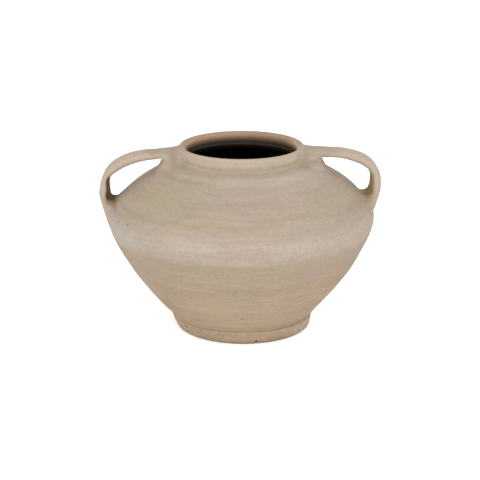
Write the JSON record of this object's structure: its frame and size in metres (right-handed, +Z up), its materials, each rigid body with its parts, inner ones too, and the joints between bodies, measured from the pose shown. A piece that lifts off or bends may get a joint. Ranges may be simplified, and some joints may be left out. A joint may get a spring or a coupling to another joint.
{
  "type": "earthenware olla",
  "caption": "Wide, low olla of unglazed earthenware for cooking and serving, with a narrow foot, full belly, sloping shoulder, short neck and strap handles.",
  "frame": {"origin": "centre of the foot's resting face, on the axis the pot is turned about", "axes": "+Z up along the pot's axis, +X to the right handle and -X to the left one, +Y away from the viewer"},
  "size_m": [0.3821, 0.36, 0.253],
  "materials": {
    "earthenware": "unglazed, matte, with fine horizontal throwing lines"
  },
  "bodies": {
    "root": {"foot_ring": "earthenware", "floor_slab": "earthenware", "floor_coil": "earthenware", "lower_bowl": "earthenware", "upper_bowl": "earthenware", "seam_coil": "earthenware", "lower_belly": "earthenware", "upper_belly": "earthenware", "shoulder": "earthenware", "collar": "earthenware", "rim_roll": "earthenware", "left_handle": "earthenware", "right_handle": "earthenware", "left_upper_root_pad": "earthenware", "left_lower_root_pad": "earthenware", "right_upper_root_pad": "earthenware", "right_lower_root_pad": "earthenware"}
  },
  "joints": []
}
